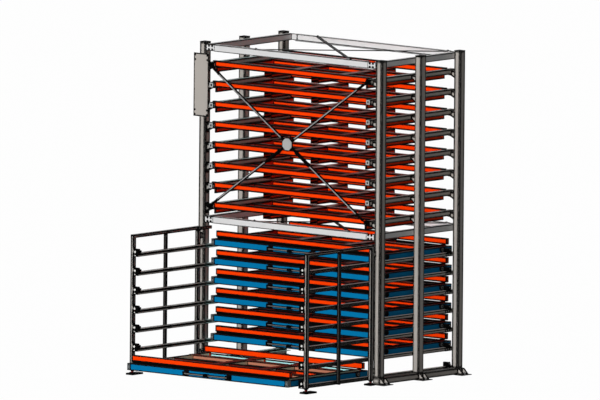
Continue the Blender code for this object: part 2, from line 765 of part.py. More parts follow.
def build():
    """Every piece of the rack in its place."""
    clear_scene()
    root = bpy.data.objects.new("cassette_rack", None)
    bpy.context.scene.collection.objects.link(root)
    root.location = (0.0, centre_shift, 0.0)

    post_paint = paint("post_paint", (0.42, 0.40, 0.37), 0.55, 0.1)
    rail_paint = paint("rail_paint", (0.40, 0.39, 0.37), 0.5, 0.2)
    base_paint = paint("base_paint", (0.41, 0.39, 0.36), 0.55, 0.1)
    beam_paint = paint("beam_paint", (0.68, 0.68, 0.68), 0.45, 0.1)
    side_paint = paint("side_paint", (0.60, 0.60, 0.60), 0.45, 0.1)
    brace_steel = paint("brace_steel", (0.40, 0.40, 0.40), 0.35, 0.8)
    panel_paint = paint("panel_paint", (0.42, 0.40, 0.37), 0.5, 0.1)
    ladder_paint = paint("ladder_paint", (0.41, 0.39, 0.36), 0.5, 0.2)
    drawer_paint = paint("drawer_paint", (0.0, 0.168, 0.381), 0.4, 0.0)
    upper_paint = paint("upper_cassette_paint", (0.965, 0.048, 0.0), 0.42, 0.0)
    lower_paint = paint("lower_cassette_paint", (0.965, 0.050, 0.0), 0.42, 0.0)
    wheel_rubber = paint("wheel_rubber", (0.012, 0.012, 0.012), 0.6, 0.0)

    for side, word in ((-1, "left"), (1, "right")):
        for row, where in ((0, "front"), (2, "rear")):
            name = "post_" + where + "_" + word
            place(name, welded(name, corner_post(side, row)), post_paint, root)
        name = "rail_frame_" + word
        place(name, welded(name, rail_frame(side)), rail_paint, root)
        name = "floor_base_" + word
        place(name, welded(name, floor_base(side)), base_paint, root)
        for centre, where in ((beam_top_centre, "top"), (beam_middle_centre, "middle")):
            name = "side_beam_" + where + "_" + word
            place(name, welded(name, side_beam(side, centre)), side_paint, root)
        name = "ladder_" + word
        place(name, welded(name, ladder(side)), ladder_paint, root)

    for centre, where in ((beam_top_centre, "top"), (beam_middle_centre, "middle")):
        pieces = cross_beam(centre)
        name = "front_beam_" + where
        place(name, welded(name, pieces), beam_paint, root)
        name = "rear_beam_" + where
        turned = [mirrored(piece, depth / 2) for piece in pieces]
        place(name, welded(name, turned), beam_paint, root)
        name = "plan_brace_" + where
        place(name, welded(name, plan_brace(centre)), brace_steel, root)

    low, high, middle = brace_points()
    inside = 0.5 * hub_radius
    pieces = brace_hub(middle)
    pieces += brace_rod(-1, high, middle, inside, False, True)
    pieces += brace_rod(1, low, middle, inside, True, True)
    place("brace_hub", welded("brace_hub", pieces), brace_steel, root)
    outside = 1.1 * hub_radius
    place("brace_rod_upper", welded("brace_rod_upper", brace_rod(1, high, middle, outside, False, False)),
          brace_steel, root)
    place("brace_rod_lower", welded("brace_rod_lower", brace_rod(-1, low, middle, outside, True, False)),
          brace_steel, root)
    place("panel_plate", welded("panel_plate", panel_plate()), panel_paint, root)

    upper_pieces = cassette(upper_half, upper_runner, upper_cassette_depth, upper_slat_count, True)
    upper_mesh = welded("upper_cassette", upper_pieces)
    for level in range(upper_count):
        spot = (0.0, upper_cassette_setback, upper_bar_height(level))
        place("upper_cassette_" + str(level + 1), upper_mesh.copy(), upper_paint, root, spot)

    drawer_mesh = welded("drawer", drawer_body())
    lower_pieces = cassette(lower_cassette_half, lower_runner, lower_cassette_depth,
                            lower_slat_count, False)
    lower_mesh = welded("lower_cassette", lower_pieces)
    ring = wheel_mesh()
    for level in range(lower_count):
        word = str(level + 1)
        front = drawer_setback
        if level == 0:
            front -= drawer_travel
        spot = (0.0, front, drawer_bottom + level * lower_pitch)
        drawer = place("drawer_" + word, drawer_mesh.copy(), drawer_paint, root, spot)
        spot = (0.0, lower_cassette_setback, lower_bar_centre)
        place("lower_cassette_" + word, lower_mesh.copy(), lower_paint, drawer, spot)
        for side, where in ((-1, "left"), (1, "right")):
            middle_x = side * (drawer_half_width + wheel_side_gap + wheel_width / 2)
            spot = (middle_x, wheel_offset, wheel_height - drawer_bottom)
            place("wheel_" + word + "_" + where, ring.copy(), wheel_rubber, drawer, spot)
    bpy.context.view_layer.update()


build()
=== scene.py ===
import math

import bmesh
import bpy
from mathutils import Matrix, Vector


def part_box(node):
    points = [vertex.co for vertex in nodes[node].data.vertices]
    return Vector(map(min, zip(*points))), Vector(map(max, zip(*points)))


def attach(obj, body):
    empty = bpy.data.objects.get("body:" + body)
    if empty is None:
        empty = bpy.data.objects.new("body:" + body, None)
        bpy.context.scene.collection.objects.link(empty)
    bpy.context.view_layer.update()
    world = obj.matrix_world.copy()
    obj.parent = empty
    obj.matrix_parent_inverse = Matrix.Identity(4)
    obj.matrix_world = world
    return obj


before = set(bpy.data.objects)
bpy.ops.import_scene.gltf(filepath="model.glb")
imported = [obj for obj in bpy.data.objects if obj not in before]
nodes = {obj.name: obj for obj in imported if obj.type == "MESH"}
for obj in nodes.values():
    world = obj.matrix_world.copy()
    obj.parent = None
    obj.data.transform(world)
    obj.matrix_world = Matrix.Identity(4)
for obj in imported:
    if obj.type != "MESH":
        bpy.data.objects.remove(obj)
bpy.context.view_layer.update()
print("frame loaded:", len(nodes), "nodes")


# camera, read off the drawing as a parallel view
cameraView = {
    "azimuth": 40.40,
    "elevation": 6.856,
    "roll": 0.51,
    "width": 8.76,
    "corner": (1.75, -0.035, 0.0),  # foot of the right front post
    "left": 1.180,
    "up": 2.694,
    "distance": 30.0,
    "farthest": 200.0,
}


def makeCamera(view):
    turn = math.radians(view["azimuth"])
    lift = math.radians(view["elevation"])
    roll = math.radians(view["roll"])
    right = Vector((math.cos(turn), math.sin(turn), 0.0))
    up = Vector((-math.sin(lift) * math.sin(turn), math.sin(lift) * math.cos(turn), math.cos(lift)))
    toward = right.cross(up)
    middle = Vector(view["corner"]) - right * view["left"] + up * view["up"]
    tiltedUp = up * math.cos(roll) - right * math.sin(roll)
    tiltedRight = right * math.cos(roll) + up * math.sin(roll)
    lens = bpy.data.cameras.new("rackCamera")
    lens.type = "ORTHO"
    lens.ortho_scale = view["width"]
    lens.clip_end = view["farthest"]
    camera = bpy.data.objects.new("rackCamera", lens)
    bpy.context.scene.collection.objects.link(camera)
    axes = Matrix((tiltedRight, tiltedUp, toward)).transposed().to_4x4()
    camera.matrix_world = Matrix.Translation(middle + toward * view["distance"]) @ axes
    bpy.context.scene.camera = camera


makeCamera(cameraView)


# node wiring
class Wire:
    def __init__(self, tree, socket):
        self.tree = tree
        self.socket = socket

    def combine(self, operation, first, second):
        return addNode(self.tree, "ShaderNodeMath", {"operation": operation}, {0: first, 1: second})

    def __add__(self, other):
        return self.combine("ADD", self, other)

    def __radd__(self, other):
        return self.combine("ADD", other, self)

    def __sub__(self, other):
        return self.combine("SUBTRACT", self, other)

    def __rsub__(self, other):
        return self.combine("SUBTRACT", other, self)

    def __mul__(self, other):
        return self.combine("MULTIPLY", self, other)

    def __rmul__(self, other):
        return self.combine("MULTIPLY", other, self)

    def __gt__(self, other):
        return self.combine("GREATER_THAN", self, other)

    def __lt__(self, other):
        return self.combine("LESS_THAN", self, other)

    def __abs__(self):
        return self.combine("ABSOLUTE", self, 0.0)


def addNode(tree, kind, settings=None, sockets=None, output=0):
    node = tree.nodes.new(kind)
    for key, value in (settings or {}).items():
        setattr(node, key, value)
    for key, value in (sockets or {}).items():
        if isinstance(value, Wire):
            tree.links.new(value.socket, node.inputs[key])
        else:
            node.inputs[key].default_value = value
    return Wire(tree, node.outputs[output])


edgeBand = {"samples": 16, "flat": 0.9998, "full": 0.9985}  # how well the rounded normal agrees with the face


class Finish:
    def __init__(self, name, roughness, metallic=0.0, specular=0.3):
        self.material = bpy.data.materials.new(name)
        self.material.use_nodes = True
        self.tree = self.material.node_tree
        self.shader = self.tree.nodes["Principled BSDF"]
        self.shader.inputs["Roughness"].default_value = roughness
        self.shader.inputs["Metallic"].default_value = metallic
        self.shader.inputs["Specular IOR Level"].default_value = specular

    def add(self, kind, settings=None, sockets=None, output=0):
        return addNode(self.tree, kind, settings, sockets, output)

    def place(self):
        return self.add("ShaderNodeTexCoord", output="Object")

    def along(self, axis):  # where a point lies along an axis
        return self.add("ShaderNodeSeparateXYZ", None, {"Vector": self.place()}, axis)

    def facing(self, axis):  # how squarely a face looks along an axis
        normal = self.add("ShaderNodeNewGeometry", output="True Normal")
        return self.add("ShaderNodeSeparateXYZ", None, {"Vector": normal}, axis)

    def noise(self, look, stretch=None):
        spot = self.place()
        if stretch:
            spot = self.add("ShaderNodeMapping", None, {"Vector": spot, "Scale": stretch})
        sockets = {"Vector": spot, "Scale": look["scale"], "Detail": look["detail"]}
        return self.add("ShaderNodeTexNoise", None, sockets, "Fac")

    def span(self, value, low, high, start=0.0, end=1.0):
        sockets = {"Value": value, "From Min": low, "From Max": high, "To Min": start, "To Max": end}
        return self.add("ShaderNodeMapRange", {"clamp": True}, sockets)

    def mix(self, share, first, second):
        settings = {"data_type": "RGBA", "clamp_factor": True}
        return self.add("ShaderNodeMix", settings, {0: share, 6: first, 7: second}, 2)

    def corners(self, radius):  # 1 in a band along every edge, 0 on the flat
        rounded = self.add("ShaderNodeBevel", {"samples": edgeBand["samples"]}, {"Radius": radius})
        flat = self.add("ShaderNodeNewGeometry", output="True Normal")
        match = self.add("ShaderNodeVectorMath", {"operation": "DOT_PRODUCT"}, {0: rounded, 1: flat}, "Value")
        return self.span(match, edgeBand["flat"], edgeBand["full"])

    def feed(self, name, wire):
        self.tree.links.new(wire.socket, self.shader.inputs[name])

    def bump(self, height, look):
        sockets = {"Height": height, "Strength": look["strength"], "Distance": look["depth"]}
        self.feed("Normal", self.add("ShaderNodeBump", None, sockets))


def shaded(colour, factor):
    return tuple(channel * factor for channel in colour)


def opaque(colour):
    return (*colour, 1.0)


# sprayed paint: slow tone drift, some grime, orange-peel skin and dark edges, with painted shade and painted
# highlights on some pieces
spray = {
    "drift": {"scale": 1.3, "detail": 3.0, "low": 0.35, "high": 0.7},
    "grime": {"scale": 7.0, "detail": 6.0, "low": 0.52, "high": 0.78},
    "peel": {"scale": 340.0, "detail": 2.0, "strength": 0.06, "depth": 0.0006},
    "dull": {"low": 0.3, "high": 0.8, "rise": 0.14},
    "upward": {"low": 0.85, "high": 0.95},
    "square": 0.9,  # a face counts as looking along an axis from here
    "farAway": 100.0,  # past every piece, for a zone with one limit
}


def colourZones(finish, colour, zones):  # other colours on stated parts of the piece, painted shade among them
    for zone in zones:
        axis = finish.along(zone["axis"])
        if zone.get("bothSides"):
            axis = abs(axis)
        over = zone.get("over", -spray["farAway"])
        under = zone.get("under", spray["farAway"])
        colour = finish.mix((axis > over) * (axis < under), colour, opaque(zone["colour"]))
    return colour


def paintRearBarLightAndShade(finish, colour, rearBarLightAndShade):  # painted light on the rear bar's face that looks forward: painted shade in the closed drawers, a painted highlight in the open one
    ahead = finish.facing("Y") < -spray["square"]
    behind = finish.along("Y") > rearBarLightAndShade["behind"]
    return finish.mix(ahead * behind, colour, opaque(rearBarLightAndShade["colour"]))


def paintTopShade(finish, colour, topShade):  # painted shade on the faces that look up
    share = finish.span(finish.facing("Z"), spray["upward"]["low"], spray["upward"]["high"])
    return finish.mix(share, colour, opaque(topShade))


def paintInnerLightAndShade(finish, colour, inner):  # painted shade on the side faces of the members between the end bars; on the open cassette, painted highlight colours on their side and front faces
    depth = finish.along("Y")
    between = (depth > inner["start"]) * (depth < inner["end"])
    aside = abs(finish.facing("X")) > spray["square"]
    colour = finish.mix(between * aside, colour, opaque(inner["side"]))
    if "front" in inner:
        ahead = finish.facing("Y") < -spray["square"]
        colour = finish.mix(between * ahead, colour, opaque(inner["front"]))
    return colour


def narrowBands(finish, edge, slim):  # narrower bands on the slim lower rails of the right side
    across = finish.along("X")
    inside = (across > 0.0) * (across < slim["within"])
    inside = inside * (finish.along("Z") < slim["under"])
    return edge + inside * (finish.corners(slim["edgeWidth"]) - edge)


def blackFeet(finish, edge, foot):  # black lower flange of the front bars
    height = finish.along("Z") - foot["first"]
    flange = height.combine("FLOORED_MODULO", height, foot["pitch"]) < foot["rise"]
    return edge.combine("MAXIMUM", edge, flange * (finish.along("Y") < foot["before"]))


def sprayedPaint(spec):
    finish = Finish(spec["name"], spec["roughness"], specular=spec["specular"])
    drift = finish.span(finish.noise(spray["drift"]), spray["drift"]["low"], spray["drift"]["high"])
    grime = finish.noise(spray["grime"])
    colour = finish.mix(drift, opaque(spec["colour"]), opaque(shaded(spec["colour"], spec["drift"])))
    dirt = finish.span(grime, spray["grime"]["low"], spray["grime"]["high"], 0.0, spec["dirt"])
    colour = finish.mix(dirt, colour, opaque(shaded(spec["colour"], spec["dirtShade"])))
    if "zones" in spec:
        colour = colourZones(finish, colour, spec["zones"])
    if "rearBarLightAndShade" in spec:
        colour = paintRearBarLightAndShade(finish, colour, spec["rearBarLightAndShade"])
    if "topShade" in spec:
        colour = paintTopShade(finish, colour, spec["topShade"])
    if "inner" in spec:
        colour = paintInnerLightAndShade(finish, colour, spec["inner"])
    edge = finish.corners(spec["edgeWidth"])
    if "slim" in spec:
        edge = narrowBands(finish, edge, spec["slim"])
    if "foot" in spec:
        edge = blackFeet(finish, edge, spec["foot"])
    finish.feed("Base Color", finish.mix(edge, colour, opaque(inkEdge)))
    dull = spray["dull"]
    rough = spec["roughness"]
    finish.feed("Roughness", finish.span(grime, dull["low"], dull["high"], rough, rough + dull["rise"]))
    finish.bump(finish.noise(spray["peel"]), spray["peel"])
    return finish.material


# bare or plated steel: fine drawn streaks and a few dull patches
drawn = {
    "streak": {"scale": 60.0, "detail": 3.0, "low": 0.3, "high": 0.7, "shade": 0.82},
    "patch": {"scale": 5.0, "detail": 4.0, "low": 0.55, "high": 0.8, "share": 0.35},
    "dull": {"low": 0.2, "high": 0.8, "fall": 0.06, "rise": 0.1},
    "groove": {"strength": 0.08, "depth": 0.0004},
}


def drawnSteel(spec):
    finish = Finish(spec["name"], spec["roughness"], spec["metallic"], spec["specular"])
    streak = finish.noise(drawn["streak"], spec["stretch"])
    lines = finish.span(streak, drawn["streak"]["low"], drawn["streak"]["high"])
    patch = drawn["patch"]
    patches = finish.span(finish.noise(patch), patch["low"], patch["high"], 0.0, patch["share"])
    darker = shaded(spec["colour"], drawn["streak"]["shade"])
    colour = finish.mix(lines, opaque(spec["colour"]), opaque(darker))
    colour = finish.mix(patches, colour, opaque(spec["dull"]))
    edge = finish.corners(spec["edgeWidth"]) * spec["edge"]
    finish.feed("Base Color", finish.mix(edge, colour, opaque(inkEdge)))
    dull = drawn["dull"]
    smooth = spec["roughness"] - dull["fall"]
    rough = spec["roughness"] + dull["rise"]
    finish.feed("Roughness", finish.span(streak, dull["low"], dull["high"], smooth, rough))
    finish.bump(streak, drawn["groove"])
    return finish.material


# fine pebble grain and scuffs, for rubber, plastic and black-coated steel
pebble = {
    "grain": {"scale": 520.0, "detail": 2.0, "strength": 0.15, "depth": 0.0004},
    "scuff": {"scale": 28.0, "detail": 5.0, "low": 0.55, "high": 0.8},
    "dull": {"low": 0.3, "high": 0.8, "rise": 0.15},
}


def mouldedGrain(spec):
    finish = Finish(spec["name"], spec["roughness"], specular=spec["specular"])
    scuff = finish.noise(pebble["scuff"])
    scuffs = finish.span(scuff, pebble["scuff"]["low"], pebble["scuff"]["high"], 0.0, spec["scuff"])
    finish.feed("Base Color", finish.mix(scuffs, opaque(spec["colour"]), opaque(spec["pale"])))
    dull = pebble["dull"]
    rough = spec["roughness"]
    finish.feed("Roughness", finish.span(scuff, dull["low"], dull["high"], rough, rough + dull["rise"]))
    finish.bump(finish.noise(pebble["grain"]), pebble["grain"])
    return finish.material


inkEdge = (0.0015, 0.0015, 0.0015)
blackCoat = (0.003, 0.003, 0.003)
warmGrey = (0.423, 0.397, 0.366)
orange = (0.965, 0.048, 0.0)
# dark orange, painted shade for the tops of orange parts
orangeTopShade = (0.16, 0.020, 0.008)
paintedHighlightOrange = (0.456, 0.188, 0.114)  # orange paled by a painted highlight, for the open drawer and its cassette
blue = (0.0, 0.168, 0.381)
# dark blue, painted shade for the tops of blue parts
blueTopShade = (0.004, 0.040, 0.075)
frontFoot = {"first": 0.2243, "pitch": 0.2785, "rise": 0.022}
anyPaint = {"roughness": 0.5, "specular": 0.03, "drift": 0.93, "dirt": 0.16, "dirtShade": 0.6}
paints = {
    "post": {"colour": warmGrey, "edgeWidth": 0.042},
    "rail": {"colour": warmGrey, "edgeWidth": 0.030,
             "slim": {"within": 1.6305, "under": 2.2, "edgeWidth": 0.020},
             "zones": [{"axis": "X", "under": -1.0, "colour": (0.430, 0.590, 0.570)},
                       {"axis": "X", "under": -1.628, "colour": warmGrey}]},
    # the bases get a darker grey as painted shade on their tops
    "base": {"colour": (0.42, 0.39, 0.36), "edgeWidth": 0.030, "topShade": (0.09, 0.085, 0.08)},
    "beam": {"colour": (0.69, 0.69, 0.69), "edgeWidth": 0.018},
    "sideBeam": {"colour": (0.66, 0.66, 0.66), "edgeWidth": 0.020},
    "ladder": {"colour": (0.40, 0.38, 0.355), "edgeWidth": 0.038,
               # painted shade, near black, on the middle posts; black at the foot
               "zones": [{"axis": "Y", "over": -0.885, "under": -0.800, "colour": (0.070, 0.066, 0.062)},
                         {"axis": "Z", "under": 0.0655, "colour": blackCoat}]},
    "panel": {"colour": (0.415, 0.385, 0.352), "edgeWidth": 0.030},
    "hub": {"colour": (0.41, 0.41, 0.41), "edgeWidth": 0.002},
    # upper and lower cassettes: painted shade on the side faces between the end bars
    "upperCassette": {"colour": orange, "edgeWidth": 0.037, "topShade": orangeTopShade,
                      "inner": {"start": 0.030, "end": 1.675, "side": shaded(orange, 0.6)},
                      "foot": {"first": 2.330, "pitch": 0.297, "rise": 0.022, "before": 0.030},
                      "zones": [{"axis": "X", "bothSides": True, "over": 1.4605, "colour": blackCoat}]},
    "lowerCassette": {"colour": orange, "edgeWidth": 0.037, "topShade": orangeTopShade,
                      "inner": {"start": 0.154, "end": 1.730, "side": shaded(orange, 0.3)},
                      "foot": {**frontFoot, "before": 0.154}},
    # open cassette: painted highlights, grey-green on the side faces and pale orange on the front faces
    # between the end bars
    "openCassette": {"colour": orange, "edgeWidth": 0.026, "topShade": orangeTopShade,
                     "inner": {"start": -1.716, "end": -0.140, "side": (0.60, 0.67, 0.48), "front": paintedHighlightOrange},
                     "foot": {**frontFoot, "before": -1.716}},
    "tie": {"colour": orange, "edgeWidth": 0.034, "topShade": orangeTopShade},
    # middle ties: orange darkened as painted shade, plain orange at their right end
    "paintedShadeTie": {"colour": shaded(orange, 0.16), "edgeWidth": 0.034, "topShade": orangeTopShade,
               "zones": [{"axis": "X", "over": 0.92, "colour": orange}]},
    # the open drawer's ties in orange paled by a painted highlight
    "openTie": {"colour": paintedHighlightOrange, "edgeWidth": 0.024, "topShade": orangeTopShade},
    "drawer": {"colour": blue, "edgeWidth": 0.028, "topShade": blueTopShade,
               # painted shade, black, on the rear bar's forward face
               "rearBarLightAndShade": {"behind": 1.78, "colour": inkEdge}},
    "openDrawer": {"colour": blue, "edgeWidth": 0.028, "topShade": blueTopShade,
                   # painted highlight, pale cyan, on the rear bar's forward face
                   "rearBarLightAndShade": {"behind": -0.09, "colour": (0.40, 0.80, 0.80)}},
}
painted = {name: sprayedPaint({"name": name + "Paint", **anyPaint, **spec}) for name, spec in paints.items()}
plateSteel = drawnSteel({"name": "plateSteel", "colour": (0.135, 0.150, 0.156), "dull": (0.10, 0.11, 0.11),
                         "roughness": 0.45, "metallic": 0.0, "specular": 0.15, "stretch": (1.0, 1.0, 0.1),
                         "edge": 0.4, "edgeWidth": 0.002})
planSteel = drawnSteel({"name": "planSteel", "colour": (0.045, 0.045, 0.045), "dull": (0.03, 0.03, 0.03),
                        "roughness": 0.70, "metallic": 0.0, "specular": 0.02, "stretch": (0.05, 1.0, 1.0),
                        "edge": 1.0, "edgeWidth": 0.016})
rodSteel = drawnSteel({"name": "rodSteel", "colour": (0.24, 0.24, 0.235), "dull": (0.16, 0.16, 0.16),
                       "roughness": 0.33, "metallic": 0.4, "specular": 0.35, "stretch": (0.05, 1.0, 1.0),
                       "edge": 0.5, "edgeWidth": 0.003})
wheelTyre = mouldedGrain({"name": "wheelTyre", "colour": (0.002, 0.002, 0.002), "pale": (0.010, 0.010, 0.010),
                          "roughness": 0.60, "specular": 0.02, "scuff": 0.4})
blackSteel = mouldedGrain({"name": "blackSteel", "colour": (0.0015, 0.0015, 0.0015),
                           "pale": (0.006, 0.006, 0.006), "roughness": 0.60, "specular": 0.01, "scuff": 0.4})
paleRoller = mouldedGrain({"name": "paleRoller", "colour": (0.72, 0.71, 0.68), "pale": (0.5, 0.49, 0.46),
                           "roughness": 0.5, "specular": 0.3, "scuff": 0.5})
redCollar = mouldedGrain({"name": "redCollar", "colour": (0.16, 0.006, 0.005), "pale": (0.1, 0.01, 0.01),
                          "roughness": 0.5, "specular": 0.3, "scuff": 0.4})
print("finishes made")

# first match counts, so the open drawer and its cassette come before the closed ones
nodeFinishes = (
    ("post_", painted["post"]),
    ("rail_frame", painted["rail"]),
    ("floor_base", painted["base"]),
    ("front_beam", painted["beam"]),
    ("rear_beam", painted["beam"]),
    ("side_beam", painted["sideBeam"]),
    ("ladder", painted["ladder"]),
    ("plan_brace", planSteel),
    ("brace_", blackSteel),
    ("lower_cassette_1", painted["openCassette"]),
    ("drawer_1", painted["openDrawer"]),
    ("upper_cassette", painted["upperCassette"]),
    ("lower_cassette", painted["lowerCassette"]),
    ("drawer", painted["drawer"]),
    ("wheel", wheelTyre),
    ("panel", painted["panel"]),
)
for name, node in nodes.items():
    node.data.materials.clear()
    node.data.materials.append(next(finish for start, finish in nodeFinishes if name.startswith(start)))
print("nodes dressed")


# small shapes
mergeGap = 0.00001
sharpAngles = {"round": 40.0, "bolts": 30.0, "plates": 15.0, "ties": 10.0}  # degrees
# bolts in shares of their size across, tyres in shares of half width and radius
boltShape = {"washer": 0.18, "washerReach": 1.05, "washerSides": 18, "head": 0.58, "headSides": 6,
             "soft": 0.06, "crown": 0.45, "crownRise": 0.05, "crownSides": 12}
tyreShape = {"steps": 28, "shoulder": ((1.0, 0.78), (0.8, 0.93), (0.4, 1.0))}


def standOn(axis):
    return Vector((0.0, 0.0, 1.0)).rotation_difference(Vector(axis)).to_matrix().to_4x4()


def soften(shape, edges, width, segments=2):
    bmesh.ops.bevel(shape, geom=edges, offset=width, offset_type="OFFSET", segments=segments, profile=0.5,
                    affect="EDGES", material=-1)


def edgesOf(verts):  # each edge once, in a fixed order
    return list(dict.fromkeys(edge for vert in verts for edge in vert.link_edges))


def addBlock(shape, low, high, width):
    low = Vector(low)
    high = Vector(high)
    size = high - low
    spot = Matrix.Translation((low + high) / 2) @ Matrix.Diagonal((size.x, size.y, size.z, 1.0))
    made = bmesh.ops.create_cube(shape, size=1.0, matrix=spot)["verts"]
    if width:
        soften(shape, edgesOf(made), width)


def addPrism(shape, outline, low, high, width):  # outline of depth and height, pulled across
    verts = [shape.verts.new((low, back, height)) for back, height in outline]
    made = bmesh.ops.extrude_face_region(shape, geom=[shape.faces.new(verts)])["geom"]
    ends = [item for item in made if isinstance(item, bmesh.types.BMVert)]
    bmesh.ops.translate(shape, verts=ends, vec=(high - low, 0.0, 0.0))
    if width:
        soften(shape, edgesOf(verts + ends), width)


def addDisc(shape, seat, axis, radius, height, sides=20, width=0.0):  # stands on its seat along the axis
    axis = Vector(axis).normalized()
    spot = Matrix.Translation(Vector(seat) + axis * height / 2) @ standOn(axis)
    made = bmesh.ops.create_cone(shape, cap_ends=True, segments=sides, radius1=radius, radius2=radius,
                                 depth=height, matrix=spot)["verts"]
    if width:
        rims = [edge for edge in edgesOf(made)
                if any(len(face.verts) == sides for face in edge.link_faces)]
        soften(shape, rims, width)


def addBolt(shape, seat, axis, across, height):  # washer, hexagon head and a turned crown
    part = boltShape
    axis = Vector(axis).normalized()
    washer = part["washer"] * across
    corner = part["head"] * across / math.cos(math.pi / part["headSides"])
    head = Vector(seat) + axis * washer
    crown = Vector(seat) + axis * (washer + height)
    addDisc(shape, seat, axis, part["washerReach"] * across, washer, part["washerSides"])
    addDisc(shape, head, axis, corner, height, part["headSides"], part["soft"] * across)
    addDisc(shape, crown, axis, part["crown"] * across, part["crownRise"] * across, part["crownSides"])


def addTyre(shape, middle, radius, width, bore):  # section spun about the X axis
    half = width / 2
    centre = Vector(middle)
    left = [(-half, bore)] + [(-along * half, out * radius) for along, out in tyreShape["shoulder"]]
    right = [(-along, out) for along, out in reversed(left)]
    section = [shape.verts.new(centre + Vector((along, 0.0, out))) for along, out in left + right]
    edges = [shape.edges.new((section[index - 1], section[index])) for index in range(len(section))]
    bmesh.ops.spin(shape, geom=section + edges, axis=(1.0, 0.0, 0.0), cent=centre, angle=2 * math.pi,
                   steps=tyreShape["steps"], use_merge=True)


def finishPiece(name, shape, material, body, sharp=sharpAngles["round"]):
    bmesh.ops.remove_doubles(shape, verts=shape.verts, dist=mergeGap)
    bmesh.ops.recalc_face_normals(shape, faces=shape.faces)
    mesh = bpy.data.meshes.new(name)
    shape.to_mesh(mesh)
    shape.free()
    mesh.shade_smooth()
    mesh.set_sharp_from_angle(angle=math.radians(sharp))
    mesh.materials.append(material)
    piece = bpy.data.objects.new(name, mesh)
    bpy.context.scene.collection.objects.link(piece)
    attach(piece, body)


sides = {"left": -1, "right": 1}
setBack = -0.035  # front faces of the posts
rackDepth = 1.88
postRows = (0.06, 0.94, 1.82)  # post centres behind the front faces

# bolts that hold the beam end plates
plateBolts = {"columns": (1.512, 1.573), "rise": 0.0285, "across": 0.0185, "height": 0.010,
              "levels": (2.160, 4.686), "face": 0.0045}
shape = bmesh.new()
for side in sides.values():
    for level in plateBolts["levels"]:
        for column in plateBolts["columns"]:
            for step in (-1, 1):
                height = level + step * plateBolts["rise"]
                front = (side * column, setBack + plateBolts["face"], height)
                addBolt(shape, front, (0, -1, 0), plateBolts["across"], plateBolts["height"])
                rear = (side * column, setBack + rackDepth - plateBolts["face"], height)
                addBolt(shape, rear, (0, 1, 0), plateBolts["across"], plateBolts["height"])
finishPiece("plateBolts", shape, blackSteel, "rack", sharpAngles["bolts"])

# screws in pairs at the corners of the panel
panelScrews = {"inset": 0.026, "steps": (0.028, 0.096), "across": 0.015, "height": 0.005}
panelLow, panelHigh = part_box("panel_plate")
shape = bmesh.new()
for column in (panelLow.x + panelScrews["inset"], panelHigh.x - panelScrews["inset"]):
    for step in panelScrews["steps"]:
        for height in (panelLow.z + step, panelHigh.z - step):
            seat = (column, panelLow.y, height)
            addBolt(shape, seat, (0, -1, 0), panelScrews["across"], panelScrews["height"])
finishPiece("panelScrews", shape, blackSteel, "rack", sharpAngles["bolts"])

# caps in the post tops
postCaps = {"centre": 1.69, "side": 0.121, "height": 0.005, "top": 4.76, "soft": 0.002}
shape = bmesh.new()
for side in sides.values():
    for row in postRows:
        half = postCaps["side"] / 2
        across = side * postCaps["centre"]
        back = setBack + row
        top = postCaps["top"]
        addBlock(shape, (across - half, back - half, top),
                 (across + half, back + half, top + postCaps["height"]), postCaps["soft"])
finishPiece("postCaps", shape, blackSteel, "rack")

# anchors in the base plates, each a nut on a stud
anchors = {"out": 1.842, "seat": 0.010, "across": 0.020, "height": 0.014, "stud": 0.007, "studHeight": 0.034,
           "studSides": 12, "studSoft": 0.001}
shape = bmesh.new()
for side in sides.values():
    for row in postRows:
        seat = (side * anchors["out"], setBack + row, anchors["seat"])
        addBolt(shape, seat, (0, 0, 1), anchors["across"], anchors["height"])
        addDisc(shape, seat, (0, 0, 1), anchors["stud"], anchors["studHeight"], anchors["studSides"],
                anchors["studSoft"])
finishPiece("baseAnchors", shape, rodSteel, "rack", sharpAngles["bolts"])

# bolts of the flat plan braces, heads on the beam flanges
planBolts = {"spots": ((1.121, 0.035), (-1.056, 1.845), (-0.698, 0.035), (1.442, 1.845)),
             "tops": (2.212, 4.738), "across": 0.018, "height": 0.008}
shape = bmesh.new()
for top in planBolts["tops"]:
    for across, back in planBolts["spots"]:
        addBolt(shape, (across, setBack + back, top), (0, 0, 1), planBolts["across"], planBolts["height"])
finishPiece("planBolts", shape, blackSteel, "rack", sharpAngles["bolts"])
print("frame fasteners made")

# closed ends of the floor bases
baseCaps = {"inner": 1.6305, "outer": 1.7495, "low": 0.0115, "high": 0.0995, "gap": 0.0005,
            "thickness": 0.0035, "soft": 0.001}
shape = bmesh.new()
for side in sides.values():
    low, high = sorted((side * baseCaps["inner"], side * baseCaps["outer"]))
    for face, way in ((setBack - baseCaps["gap"], -1), (setBack + rackDepth + baseCaps["gap"], 1)):
        near, far = sorted((face, face + way * baseCaps["thickness"]))
        addBlock(shape, (low, near, baseCaps["low"]), (high, far, baseCaps["high"]), baseCaps["soft"])
finishPiece("baseCaps", shape, painted["post"], "rack", sharpAngles["plates"])

# plates that close the front ends of the upper rails, each with a dark slot
railPlugs = {"centre": 1.504, "first": 2.360, "pitch": 0.297, "levels": range(1, 7), "face": -0.0163,
             "half": 0.035, "thickness": 0.003, "soft": 0.0012, "slotWide": 0.013, "slotHigh": 0.016,
             "slotProud": 0.0015, "slotSunk": 0.0005, "slotSoft": 0.0006}
shape = bmesh.new()
slots = bmesh.new()
for side in sides.values():
    plug = railPlugs
    middle = side * plug["centre"]
    face = setBack + plug["face"]
    front = face - plug["thickness"]
    for level in plug["levels"]:
        height = plug["first"] + level * plug["pitch"]
        addBlock(shape, (middle - plug["half"], front, height - plug["half"]),
                 (middle + plug["half"], face, height + plug["half"]), plug["soft"])
        low = (middle - plug["slotWide"], front - plug["slotProud"], height - plug["slotHigh"])
        high = (middle + plug["slotWide"], front + plug["slotSunk"], height + plug["slotHigh"])
        addBlock(slots, low, high, plug["slotSoft"])
finishPiece("railPlugs", shape, painted["hub"], "rack", sharpAngles["plates"])
finishPiece("railSlots", slots, blackSteel, "rack")

